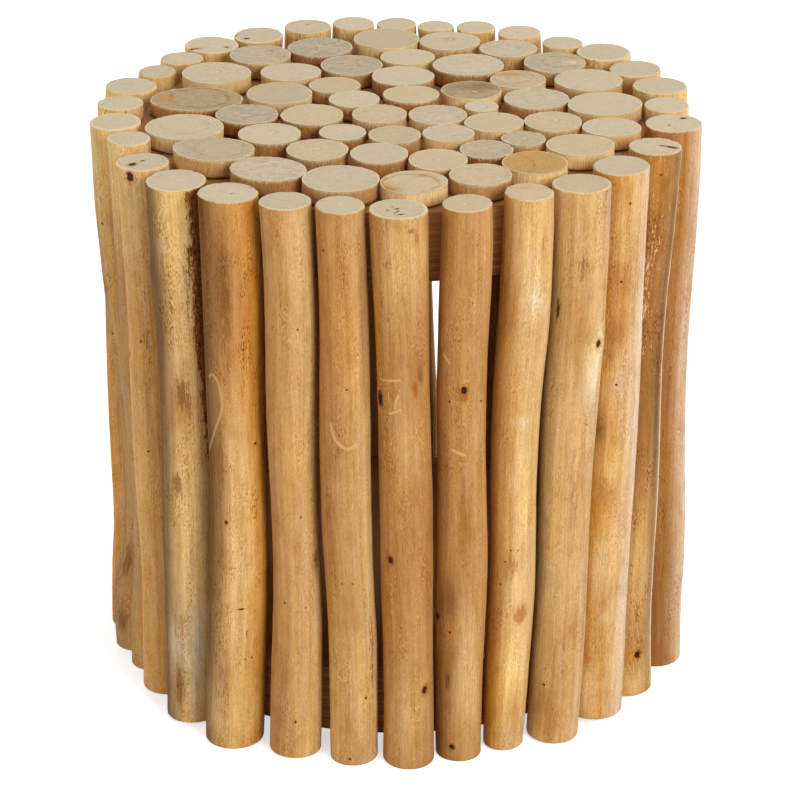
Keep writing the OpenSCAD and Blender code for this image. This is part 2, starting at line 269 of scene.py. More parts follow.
# Knots and worm holes: post, height, direction, half width and half height
KNOTS = (
    (3, 411, -24, 2.9, 3.8),
    (8, 284, -66, 2.4, 3.0),
    (8, 165, -39, 2.0, 2.6),
    (8, 62, 39, 2.3, 3.0),
    (9, 291, 4, 2.3, 2.9),
    (9, 12, -18, 2.0, 2.0),
    (9, 114, -65, 2.0, 2.4),
    (11, 309, 49, 2.2, 3.4),
    (13, 38, 24, 2.5, 3.3),
    (3, 275, -77, 1.3, 3.4),
    (5, 181, -24, 1.2, 1.6),
    (5, 240, 42, 1.0, 1.0),
    (5, 95, 20, 0.5, 2.6),
    (5, 74, 18, 0.6, 0.6),
    (5, 74, 33, 0.6, 0.6),
    (5, 115, 7, 2.0, 0.5),
    (6, 333, 18, 0.6, 0.7),
    (6, 31, 0, 0.6, 1.2),
    (6, 191, 17, 0.5, 1.1),
    (6, 124, -33, 0.6, 1.0),
    (6, 121, 20, 0.5, 0.9),
    (7, 393, -43, 0.7, 0.9),
    (7, 294, 6, 0.7, 0.7),
    (7, 146, -17, 0.6, 0.6),
    (7, 146, 7, 0.5, 0.5),
    (7, 54, 31, 0.8, 1.0),
    (7, 6, -11, 0.8, 0.8),
    (9, 282, -30, 0.7, 1.0),
    (9, 280, 54, 0.8, 0.8),
    (9, 105, -26, 0.7, 0.9),
    (10, 163, -6, 0.5, 0.5),
    (10, 163, 11, 0.5, 0.5),
    (10, 154, -20, 0.5, 0.5),
    (10, 136, -29, 0.6, 0.6),
    (11, 154, -37, 0.5, 1.6),
    (11, 47, -30, 0.8, 1.0),
    (12, 402, 15, 0.7, 0.8),
    (12, 345, 4, 0.8, 0.8),
    (12, 269, 6, 0.7, 0.7),
    (13, 407, 7, 0.7, 0.8),
    (1, 350, -41, 0.8, 0.8),
    (1, 264, -52, 0.8, 0.8),
    (3, 289, -28, 0.7, 0.9),
    (3, 205, -20, 0.7, 0.7),
    (20, 250, 150, 2.4, 3.2),
    (24, 130, -160, 2.6, 3.4),
    (28, 310, -120, 2.2, 3.2),
    (17, 190, 110, 2.4, 3.0),
)

# Pale scars, as points of a post's height and direction
SCARS = (
    (5, (
        (288, -59), (291, -51), (291, -42), (288, -34), (283, -28), (277, -25),
        (270, -24), (263, -28), (256, -37), (248, -47), (239, -60), (230, -75),
    )),
    (7, ((268, -30), (261, -26), (256, -17), (252, -6), (250, 8), (251, 18), (253, 27))),
    (8, ((299, -62), (300, -40), (302, -8))),
    (8, ((290, -12), (286, -17), (281, -20))),
    (8, ((276, -32), (280, -8))),
    (9, ((316, -50), (311, -32))),
    (9, ((246, -24), (244, -8), (242, 8))),
    (11, ((150, -30), (158, -8))),
)

# Swellings of a post: post, height, direction, how far round and how high they
# reach, and how far they stand out
SWELLINGS = (
    (4, 352, -78, 9, 9, 1.4),
    (7, 92, 70, 14, 30, 0.8),
    (8, 167, -39, 8, 10, 0.8),
    (9, 290, -60, 10, 24, 0.7),
    (10, 330, 80, 12, 30, 0.7),
    (11, 309, 60, 9, 14, 0.9),
    (13, 340, -60, 10, 20, 0.6),
)

# Dark marks on the sawn tops: to the right and the rear of the middle of the
# stool, half width, half depth, and turn
TOP_MARKS = (
    (2.5, -200.7, 1.6, 1.0, 40),
    (5.2, -211.0, 2.2, 0.9, 20),
    (-0.4, -197.4, 1.0, 0.6, 0),
    (-3.5, -203.5, 1.6, 0.6, -35),
    (3.2, -205.6, 2.2, 0.5, 60),
    (1.0, -208.4, 0.9, 0.9, 0),
    (17.8, -211.7, 0.7, 0.7, 0),
    (194, -84, 4.0, 1.3, -30),
    (188, -81, 3.0, 0.8, -20),
    (207, -21, 2.0, 1.6, 10),
    (196, -36, 1.2, 0.5, 60),
    (-180.5, -105, 3.2, 2.2, 50),
    (-174, -98, 2.0, 0.8, 50),
    (-155, 137, 8.0, 1.4, 15),
    (-126, 143, 1.8, 1.2, 0),
    (-112, 163, 1.8, 1.5, 20),
    (-121, 170, 1.3, 1.6, 0),
    (-66, 191, 0.9, 0.7, 0),
    (66, 166, 3.4, 2.6, 30),
    (-92, 125, 2.2, 0.9, -10),
    (-109, -170, 1.4, 0.5, 0),
    (-96, -158, 1.0, 0.6, 40),
)

# Looks of slices by the place of their middle: face tone, wall tone, bark on the
# wall, grey streaks, shift of the pith to the right and the rear, and how plain
# the pith shows
SLICE_LOOKS = {
    (14, -152): ("sand", "butter", 0.1, 0.2, -2, -3, 0.2),
    (60, -140): ("sand", "tan", 0.6, 0.4, 0, -2, 0.2),
    (98, -114): ("ochre", "butter", 0.0, 0.0, -34, -6, 0.0),
    (131, -78): ("sand", "butter", 0.1, 0.1, 4, 3, 0.1),
    (155, -41): ("bone", "honey", 0.3, 0.3, 0, 0, 0.1),
    (152, 8): ("bone", "straw", 0.4, 0.2, 2, 2, 0.1),
    (143, 60): ("bone", "honey", 0.4, 0.3, -2, 2, 0.3),
    (120, 100): ("grey", "honey", 0.4, 0.6, 4, 2, 0.1),
    (87, 130): ("bone", "tan", 0.4, 0.6, 3, -2, 0.2),
    (43, 150): ("bone", "tan", 0.3, 0.4, 0, 3, 1.0),
    (-5, 155): ("beige", "straw", 0.1, 0.2, 4, 6, 0.1),
    (-55, 138): ("grey", "clay", 0.8, 1.0, 3, 0, 0.1),
    (-100, 118): ("grey", "tan", 0.6, 0.7, 6, 5, 0.8),
    (-130, 76): ("bone", "straw", 0.3, 0.3, 1, 3, 0.9),
    (-141, 24): ("biscuit", "clay", 0.7, 0.8, 2, 2, 0.3),
    (-148, -41): ("bone", "straw", 0.2, 0.1, 0, 2, 0.2),
    (-123, -94): ("beige", "honey", 0.6, 0.5, 4, 2, 0.2),
    (-85, -129): ("bone", "clay", 0.7, 0.8, 2, 4, 0.2),
    (-36, -147): ("bone", "tan", 0.6, 0.4, 4, 4, 0.2),
    (30, -109): ("sand", "tan", 0.4, 0.2, 0, 0, 0.7),
    (65, -88): ("beige", "clay", 1.0, 0.6, 0, 0, 0.2),
    (92, -66): ("beige", "tan", 0.5, 0.6, 0, 0, 1.0),
    (115, -33): ("sand", "tan", 0.4, 0.4, 2, 2, 0.9),
    (104, 21): ("bone", "tan", 0.7, 0.5, 2, 4, 0.1),
    (91, 63): ("beige", "butter", 0.2, 0.3, -4, 6, 0.2),
    (55, 94): ("bone", "clay", 0.8, 0.5, 0, 2, 0.1),
    (11, 114): ("bone", "straw", 0.1, 0.1, 0, 0, 0.1),
    (-31, 98): ("grey", "clay", 0.6, 0.8, 2, 0, 0.2),
    (-76, 82): ("bone", "straw", 0.4, 0.1, 0, 0, 0.1),
    (-83, 32): ("beige", "straw", 0.2, 0.2, 2, 2, 0.1),
    (-105, -14): ("grey", "rust", 0.8, 0.9, -6, 2, 0.2),
    (-88, -58): ("bone", "clay", 0.7, 0.3, 2, 2, 0.9),
    (-53, -88): ("sand", "clay", 0.5, 0.4, 0, 2, 0.9),
    (-10, -98): ("bone", "clay", 0.7, 0.3, 0, 2, 0.1),
    (64, 2): ("bone", "straw", 0.1, 0.1, 1, 0, 0.9),
    (57, 35): ("biscuit", "butter", 0.1, 1.0, 3, -4, 0.8),
    (7, 68): ("bone", "tan", 0.8, 0.2, 0, 0, 0.1),
    (13, 23): ("sand", "rust", 0.6, 0.1, 0, 0, 0.1),
    (32, -16): ("bone", "straw", 0.2, 0.7, 6, 2, 0.2),
    (1, -58): ("beige", "tan", 0.6, 0.4, 0, 0, 0.3),
    (39, -57): ("bone", "straw", 0.3, 0.5, 0, 2, 0.1),
    (72, -35): ("sand", "honey", 0.2, 0.1, 0, 0, 0.1),
}

# Growth lines that show plainly on a slice, by the place of its middle: radius of
# the broadest one, and how plainly it and the others show
GROWTH_LINES = {
    (-141, 24): (21, 0.9, 0.3),
    (-148, -41): (17, 0.25, 0.5),
    (-123, -94): (18, 0.35, 0.5),
    (98, -114): (33, 0.6, 1.2),
    (120, 100): (13, 0.5, 0.5),
    (14, -152): (19, 0.9, 0.4),
    (91, 63): (15, 0.5, 0.4),
    (-130, 76): (9, 0.3, 0.3),
    (104, 21): (14, 0.2, 0.4),
}

# Soft patches on the tops: right, rear, half width, half depth, tone, amount
TOP_PATCHES = (
    (-3, -166, 8, 4, "clay", 0.9),
    (-6, -160, 5, 7, "amber", 0.7),
    (20, -141, 7, 2.4, "clay", 0.5),
    (87, 73, 13, 5, "tan", 0.9),
    (60, 42, 17, 9, "slate", 0.55),
    (62, 31, 3, 2, "rust", 0.8),
    (43, 153, 5, 2.6, "clay", 0.8),
    (-164, 24, 5, 9, "amber", 0.7),
    (86, 0, 3, 5, "rust", 0.6),
    (135, 101, 7, 6, "cream", 0.8),
    (85, -169, 12, 1.2, "tan", 0.6),
)


def wood(name):
    """A tone as linear red, green and blue: each share c of 255 becomes
    ((c + 0.055) / 1.055) to the power 2.4."""
    share = np.array(TONES[name]) / 255
    return ((share + 0.055) / 1.055) ** 2.4


# Shapes


def ripples(points, size, seed, count=24):
    """A gentle random relief, about -1 to 1: the sum of count cosine waves that
    are about size long in each axis, in seeded directions, over the square root
    of count / 2."""
    rng = np.random.default_rng(seed)
    waves = rng.normal(size=(count, 3)) * 4 / np.array(size)
    turns = rng.uniform(0, 2 * math.pi, count)
    return np.cos(points @ waves.T + turns).sum(-1) / math.sqrt(count * 2)


def bell(*shares):
    """1 in the middle and 0 far out: e to the power of minus the sum of the
    squared shares."""
    return np.exp(-sum(share**2 for share in shares))


def blend_to(start, end, share):
    """start where share is 0 and end where it is 1, in proportion between."""
    share = np.asarray(share)[..., None]
    return start * (1 - share) + end * share


def ease(value, low, high):
    """0 below low and 1 above high, with t * t * (3 - 2 t) between them."""
    t = np.clip((value - low) / (high - low), 0, 1)
    return t * t * (3 - 2 * t)


def through(knots, values, at):
    """One smooth curve through values at knots, read at at: cubic pieces, whose
    slope at a knot is the slopes beside it, each weighted by the other's gap."""
    gap = np.diff(knots)
    wide = gap.reshape(-1, *[1] * (values.ndim - 1))
    slope = np.diff(values, axis=0) / wide
    inner = (slope[:-1] * wide[1:] + slope[1:] * wide[:-1]) / (wide[:-1] + wide[1:])
    slope = np.concatenate([slope[:1], inner, slope[-1:]])
    i = np.clip(np.searchsorted(knots, at) - 1, 0, len(gap) - 1)
    t = ((at - knots[i]) / gap[i]).reshape(-1, *[1] * (values.ndim - 1))
    h = wide[i]
    return (
        values[i] * (1 + 2 * t) * (1 - t) ** 2
        + values[i + 1] * t * t * (3 - 2 * t)
        + slope[i] * h * t * (1 - t) ** 2
        - slope[i + 1] * h * t * t * (1 - t)
    )


def rounded(corners, columns):
    """Closed smooth curves through rings of evenly turned corners: each ring's
    sum of waves (its Fourier series), read at columns places."""
    count = corners.shape[1]
    waves = np.fft.rfft(corners, axis=1)
    if count % 2 == 0:
        waves[:, count // 2] *= 0.5
    return np.fft.irfft(waves, columns, axis=1) * columns / count


def points_of(node):
    """The places of a CAD node's corners, each once, and its triangles."""
    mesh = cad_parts[node].data
    places = np.empty(len(mesh.vertices) * 3)
    mesh.vertices.foreach_get("co", places)
    corners = np.empty(len(mesh.loops), int)
    mesh.loops.foreach_get("vertex_index", corners)
    places, same = np.unique(places.reshape(-1, 3).round(6), axis=0, return_inverse=True)
    return places, same.ravel()[corners].reshape(-1, 3)


def in_turn(ring, from_middle=True):
    """The corners of a ring in turn, anticlockwise from above. The first is the
    one that lies furthest towards the middle of the stool or, with from_middle
    off, the first past the direction straight to the left."""
    middle = ring[:, :2].mean(0)
    turned = ring[:, :2] - middle
    order = np.argsort(np.arctan2(turned[:, 1], turned[:, 0]))
    ring = ring[order]
    first = np.argmax((ring[:, :2] - middle) @ -middle) if from_middle else 0
    return np.roll(ring, -first, axis=0)


def solids_of(node):
    """The corners of each separate solid of a node: corners that share triangles
    pass on the lowest of their numbers until nothing changes."""
    places, triangles = points_of(node)
    label = np.arange(len(places))
    while True:
        low = label.copy()
        np.minimum.at(low, triangles.ravel(), np.repeat(label[triangles].min(1), 3))
        low = low[low]
        if (low == label).all():
            break
        label = low
    return [places[label == k] for k in np.unique(label)]


def in_scene(name, data):
    """A new object that holds data, put into the scene."""
    made = bpy.data.objects.new(name, data)
    bpy.context.scene.collection.objects.link(made)
    return made


def skin(name, grids, fields, tones):
    """One piece of closed skins. A skin is a grid of points: the columns go round,
    anticlockwise from above, and the rows go up from a pole to a pole. Every
    field is a number for each point, and tones is a colour for each."""

    def flat(grid):
        body = grid[1:-1].reshape(-1, *grid.shape[2:])
        return np.concatenate([grid[:1, 0], body, grid[-1:, 0]])

    faces = []
    start = 0
    for grid in grids:
        rows, columns = grid.shape[:2]
        here = np.arange(columns)
        beside = (here + 1) % columns
        low = start + 1 + np.arange(rows - 3)[:, None] * columns
        high = low + columns
        quads = np.stack([low + here, low + beside, high + beside, high + here], -1)
        edge = start + 1 + (rows - 3) * columns
        pole = edge + columns
        faces += quads.reshape(-1, 4).tolist()
        faces += np.stack([here * 0 + start, start + 1 + beside, start + 1 + here], -1).tolist()
        faces += np.stack([edge + here, edge + beside, here * 0 + pole], -1).tolist()
        start = pole + 1
    points = np.concatenate([flat(grid) for grid in grids])
    mesh = bpy.data.meshes.new(name)
    mesh.from_pydata(points.tolist(), [], faces)
    mesh.shade_smooth()
    for field, values in {**fields, "tone": tones}.items():
        values = np.concatenate([flat(grid) for grid in values]).astype(np.float32)
        kind, key = ("FLOAT", "value") if values.ndim == 1 else ("FLOAT_VECTOR", "vector")
        mesh.attributes.new(field, kind, "POINT").data.foreach_set(key, values.ravel())
    return in_scene(name, mesh)


def settle(piece, nodes, finish):
    """Gives a piece its finish and its place: on the stool, for its CAD nodes."""
    piece.data.materials.append(finish)
    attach(piece, "root")
    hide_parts(*nodes)


def marks_on_top(points):
    """How far points of a sawn top are from the nearest dark mark, in half widths
    of the mark, and no more than FAR."""
    nearest = np.full(points.shape[:-1], FAR)
    for right, rear, wide, deep, turn in TOP_MARKS:
        turn = math.radians(turn)
        x = points[..., 0] / MM - right
        y = points[..., 1] / MM - rear
        across = (x * math.cos(turn) + y * math.sin(turn)) / wide
        along = (y * math.cos(turn) - x * math.sin(turn)) / deep
        nearest = np.minimum(nearest, np.hypot(across, along))
    return nearest


def patched_top(points, tones):
    """Tones of a sawn top with the soft patches laid on them."""
    for right, rear, wide, deep, tone, amount in TOP_PATCHES:
        share = bell((points[..., 0] / MM - right) / wide, (points[..., 1] / MM - rear) / deep)
        tones = blend_to(tones, wood(tone), amount * share)
    return tones


def post_rings(node):
    """The heights and corner rings of a CAD post, lowest first."""
    places = points_of(node)[0]
    heights, which = np.unique(places[:, 2].round(5), return_inverse=True)
    rings = [in_turn(places[which == k]) for k in range(len(heights))]
    kept = [k for k in range(len(heights)) if len(rings[k]) == POST_SIDES]
    return heights[kept], np.array([rings[k][:, :2] for k in kept])


def peeled_post(number, finish):
    """A post as one closed skin of points (row, column). The rows run from the
    middle of the sawn foot out, up the side and in over the sawn top; the side
    follows smooth curves through the CAD post's rings, and is pushed out by low
    ripples and swellings, and in by knots and chips at the ends."""
    node = f"post_{number:02d}"
    heights, rings = post_rings(node)
    columns = POST_COLUMNS
    rng = np.random.default_rng(number)
    low, foot, top, high = heights[0], heights[1], heights[-2], heights[-1]

    # Heights of the side's rows, closer together beside knots and scars
    own = [row for row in KNOTS if row[0] == number]
    levels = [np.linspace(foot, top, 150)]
    levels += [row[1] * MM + np.linspace(-3, 3, 13) * row[4] * MM for row in own]
    levels += [
        np.arange(min(line)[0] - SCAR_MARGIN, max(line)[0] + SCAR_MARGIN, SCAR_STEP) * MM
        for post, line in SCARS
        if post == number
    ]
    levels = np.unique(np.concatenate(levels).clip(foot, top).round(5))
    side = rounded(through(heights[1:-1], rings[1:-1], levels), columns)

    # Rounded edges and flat ends
    turn = np.linspace(0, math.pi / 2, 5)[:-1]
    share = np.linspace(0, 1, 13)[1:]
    ends = rounded(rings[[0, -1]], columns)
    foot_middle, top_middle = ends.mean(1)
    worn_foot = blend_to(ends[0], side[0], np.sin(turn)[:, None] * np.ones(columns))
    worn_top = blend_to(side[-1], ends[1], 1 - np.cos(turn[1:, None]) * np.ones(columns))
    foot_face = blend_to(foot_middle, ends[0], share[:-1, None] * np.ones(columns))
    top_face = blend_to(ends[1], top_middle, share[:, None] * np.ones(columns))
    rows = [
        np.tile(foot_middle, (1, columns, 1)),
        foot_face,
        worn_foot,
        side,
        worn_top,
        ends[1:],
        top_face,
    ]
    z = [
        np.full(len(foot_face) + 1, low),
        low + (foot - low) * (1 - np.cos(turn)),
        levels,
        top + (high - top) * np.sin(turn[1:]),
        np.full(len(top_face) + 1, high),
    ]
    flat = np.concatenate(rows)
    z = np.concatenate(z)[:, None] * np.ones(columns)
    sawn = np.concatenate([
        np.ones(len(foot_face) + 1),
        np.linspace(1, 0, len(worn_foot)),
        np.zeros(len(side)),
        np.linspace(0.2, 0.8, len(worn_top)),
        np.ones(len(top_face) + 1),
    ])[:, None] * np.ones(columns)

    middle = flat.mean(1, keepdims=True)
    out = flat - middle
    reach = np.hypot(out[..., 0], out[..., 1])
    edge = np.hypot(*(side - side.mean(1, keepdims=True)).mean(0).T)
    share = (reach / edge).clip(0, 1)
    around = np.broadcast_to(side.mean(0) - side.mean((0, 1)), flat.shape)
    faces = np.arctan2(around[..., 0], -around[..., 1])
    way = around / np.hypot(around[..., 0], around[..., 1])[..., None]
    points = np.concatenate([flat, z[..., None]], -1)

    def span(height, direction, wide, tall):
        """How far points are from a mark, round and up, in its half sizes."""
        round_by = (faces - math.radians(direction) + math.pi) % (2 * math.pi) - math.pi
        return round_by * edge / MM / wide, (z / MM - height) / tall

    # Relief
    push = 0.28 * ripples(points, (0.05, 0.05, 0.12), number)
    push += 0.10 * ripples(points, (0.012, 0.012, 0.03), number + 50)
    for post, height, direction, wide, tall, stand in SWELLINGS:
        if post == number:
            push += stand * bell(*span(height, direction, wide, tall))
    knot = np.full(z.shape, FAR)
    for post, height, direction, wide, tall in own:
        away = np.hypot(*span(height, direction, wide, tall))
        knot = np.minimum(knot, away)
        push += (0.5 * bell((away - 1.7) / 0.8) - 1.1 * bell(away / 0.8)) * min(1, wide / 2)
    chips = np.zeros(columns)
    for _ in range(rng.integers(2, 5)):
        aside = np.angle(np.exp(1j * (faces[0] - rng.uniform(-math.pi, math.pi))))
        chips += rng.uniform(0.2, 0.6) * bell(aside / rng.uniform(0.06, 0.16))
    chips += 0.07 * np.abs(ripples(points[-20], (0.002, 0.002, 0.002), number + 90))
    chips = chips * bell((high - z) / MM / 1.6) * share**8
    points[..., :2] += way * ((push * share**2 * (1 - 0.5 * sawn) - chips) * MM)[..., None]
    points[..., 2] -= 0.5 * chips * MM
    upper_half = z > (low + high) / 2
    uneven = ripples(points, (0.02, 0.02, 0.02), number + 70)
    points[..., 2] += 0.12 * MM * uneven * sawn * upper_half

    # Tones, which on the left and right of a post are partly painted shade and painted
    # reflection
    if number in POST_LOOKS:
        left, front, right, mottle = POST_LOOKS[number]
    else:
        left, front, right = rng.choice(REAR_TONES, 3)
        mottle = rng.uniform(0.4, 0.9)
    # Left, front and right tones spread round the post: darker left tones are partly painted
    # shade, and the pale right tone shell partly painted reflection
    shown = math.atan2(top_middle[0], -top_middle[1]) * 0.22
    turned = np.angle(np.exp(1j * (faces - shown)))
    stops = np.radians([-180, -58, 0, 52, 180])
    listed = np.array([wood(tone) for tone in (front, left, front, right, front)])
    tones = np.stack([np.interp(turned, stops, listed[:, k]) for k in range(3)], -1)
    if number not in FRONT_POSTS:
        sway = ripples(points, (0.008, 0.008, 0.06), number)
        pale = 0.85 * ease(z / MM + 8 * sway, 300, 420)
        tones = blend_to(tones, wood("pear"), pale)
    plain = np.ones(z.shape)
    for post, height, direction, wide, tall, tone, amount in PATCHES:
        if post == number:
            where = (amount * bell(*span(height, direction, wide, tall))).clip(0, 1)
            tones = blend_to(tones, wood(tone), where)
            if tone in CLEAN_TONES:
                plain *= 1 - 0.75 * where
    end_tone = wood("sand" if number in WARM_TOPS else "bone") * rng.uniform(0.97, 1.06)
    end_tones = patched_top(points, np.broadcast_to(end_tone, tones.shape))
    tones = blend_to(tones, end_tones, sawn > 0.5)

    stain = np.zeros(z.shape)
    stain_tone = tones
    for post, height, direction, wide, tall, tone, amount in STAINS:
        if post == number:
            where = amount * bell(*span(height, direction, wide, tall))
            stain_tone = np.where((where > stain)[..., None], wood(tone), stain_tone)
            stain = np.maximum(stain, where)
    strip = np.full(z.shape, -FAR)
    for post, line in STRIPS:
        if post == number:
            heights, left, right = np.array(line[::-1]).T
            left = np.radians(np.interp(z / MM, heights, left))
            right = np.radians(np.interp(z / MM, heights, right))
            inside = np.minimum(faces - left, right - faces) * edge / MM
            strip = np.maximum(strip, inside)
    scar = np.full(z.shape, FAR)
    for post, line in SCARS:
        if post == number:
            for (h1, d1), (h2, d2) in zip(line, line[1:]):
                x1, y1 = span(h1, d1, 1, 1)
                x2, y2 = span(h2, d2, 1, 1)
                dx, dy = x1 - x2, y1 - y2
                t = ((x1 * dx + y1 * dy) / (dx * dx + dy * dy)).clip(0, 1)
                scar = np.minimum(scar, np.hypot(x1 - t * dx, y1 - t * dy))
    knot = np.where((sawn > 0.5) & upper_half, marks_on_top(points), knot)
    pith = points.copy()
    pith[..., :2] -= top_middle + rng.uniform(-2, 2, 2) * MM
    pith[..., 2] = rng.uniform(0, 0.5)
    grain = np.stack([edge * np.cos(faces), edge * np.sin(faces), z], -1)
    grain = grain + rng.uniform(-9, 9, 3)
    fields = {
        "sawn": sawn,
        "knot": knot,
        "stain": stain,
        "stain_tone": stain_tone,
        "strip": strip,
        "grain": grain,
        "scar": scar,
        "mottle": mottle * plain,
        "deep": np.where(sawn > 0.5, (1 - share) * edge, high - z),
        "pith": pith,
    }
    piece = skin(f"peeled_{node}", [points], {k: [v] for k, v in fields.items()}, [tones])
    settle(piece, [node], finish)


def sawn_slice(corners, seed):
    """A slice as one closed skin of points (row, column): up the wall, over the
    rim and in over the sawn face. The outline is the smooth curve through the CAD
    slice's corners; the wall is grooved by upright ripples, and the rim is frayed."""
    low, high = corners[:, 2].min(), corners[:, 2].max()
    outline = in_turn(corners[corners[:, 2] > high - MM], from_middle=False)[:, :2]
    columns = SLICE_COLUMNS
    line = rounded(outline[None], columns)[0]
    middle = line.mean(0)
    rng = np.random.default_rng(seed)
    places = list(SLICE_LOOKS)
    near = np.hypot(*(np.array(places) - middle / MM).T)
    lines = (0, 0, 0)
    if near.min() < SLICE_REACH:
        place = places[near.argmin()]
        face, wall, bark, streaks, right, rear, core = SLICE_LOOKS[place]
        lines = GROWTH_LINES.get(place, lines)
    else:
        face = rng.choice(["bone", "beige", "sand"])
        wall = rng.choice(["tan", "clay", "straw"])
        bark, streaks, core = rng.uniform(0.1, 0.8, 3)
        right, rear = rng.uniform(-3, 3, 2)

    # Each row's share of the way up, and of the way out to the wall
    up = np.array([0, 0, 0.1, 0.25, 0.4, 0.55, 0.7, 0.8, 0.88, 0.94, 0.98, 1, 1])
    across_top = [0.99, 0.975, 0.95, 0.9, 0.82, 0.72, 0.6, 0.48, 0.36, 0.24, 0.12, 0]
    share = np.array([0, 0.5] + [1] * 10 + across_top)[:, None]
    up = np.concatenate([up, np.ones(len(share) - len(up))])
    sawn = ease(np.arange(len(share)), 10, 12)[:, None] * np.ones(columns)
    flat = middle + share[..., None] * (line - middle)
    z = (low + (high - low) * up)[:, None] * np.ones(columns)
    points = np.concatenate([flat, z[..., None]], -1)
    out = line - middle
    edge = np.hypot(out[:, 0], out[:, 1])
    way = out / edge[:, None]
    upright = points * (1, 1, 0.08)
    groove = ripples(upright, (0.0022, 0.0022, 0.0022), seed + 7, 40) * (0.05 + 0.3 * bark)
    groove += 0.25 * ripples(upright, (0.02, 0.02, 0.02), seed + 8)
    fray = np.abs(ripples(points, (0.0018, 0.0018, 0.0018), seed + 9, 40))
    rim = bell((1 - share) / 0.03, (high - z) / MM / 1.2)
    push = groove * (share**6) + rim * (0.10 + 0.3 * fray * (0.4 + bark)) + 0.1
    points[..., :2] += way * (push * (share > 0.2) * share**4 * MM)[..., None]
    points[..., 2] += MM * (0.15 * fray * rim - 0.12 * bell((1 - share) / 0.01) * sawn)

    knot = np.where(sawn > 0.5, marks_on_top(points), FAR)
    face_tone = wood(face) * rng.uniform(0.97, 1.03)
    face_tones = patched_top(points, np.broadcast_to(face_tone, points.shape))
    tones = blend_to(np.broadcast_to(wood(wall), points.shape), face_tones, sawn)
    pith = points.copy()
    pith[..., :2] -= middle + np.array([right, rear]) * MM
    pith[..., 2] = core
    fields = {
        "sawn": sawn,
        "knot": knot,
        "bark": np.full(z.shape, float(bark)),
        "streaks": np.full(z.shape, float(streaks)),
        "lines": np.broadcast_to(np.array(lines, float), points.shape),
        "deep": np.where(sawn > 0.5, (1 - share) * edge, high - z),
        "pith": pith,
    }
    return points, fields, tones


def sawn_slices(node, finish, seed):
    """The slices of a CAD node as one piece."""
    made = [sawn_slice(solid, seed + k) for k, solid in enumerate(solids_of(node))]
    grids, fields, tones = zip(*made)
    fields = {key: [own[key] for own in fields] for key in fields[0]}
    piece = skin(f"sawn_{node}", grids, fields, tones)
    settle(piece, [node], finish)


# Finishes


class Value:
    """A socket in a finish. Python's operators on it add Math nodes."""

    def __init__(self, finish, socket):
        self.finish = finish
        self.socket = socket

    def math(self, operation, *others):
        """A Math node on this value and others."""
        values = enumerate([self, *others])
        return self.finish.add("ShaderNodeMath", {"operation": operation}, values)

    def __add__(self, other):
        return self.math("ADD", other)

    def __sub__(self, other):
        return self.math("SUBTRACT", other)

    def __mul__(self, other):
        return self.math("MULTIPLY", other)

    def __rsub__(self, other):
        values = enumerate([other, self])
        return self.finish.add("ShaderNodeMath", {"operation": "SUBTRACT"}, values)

    __radd__ = __add__
    __rmul__ = __mul__


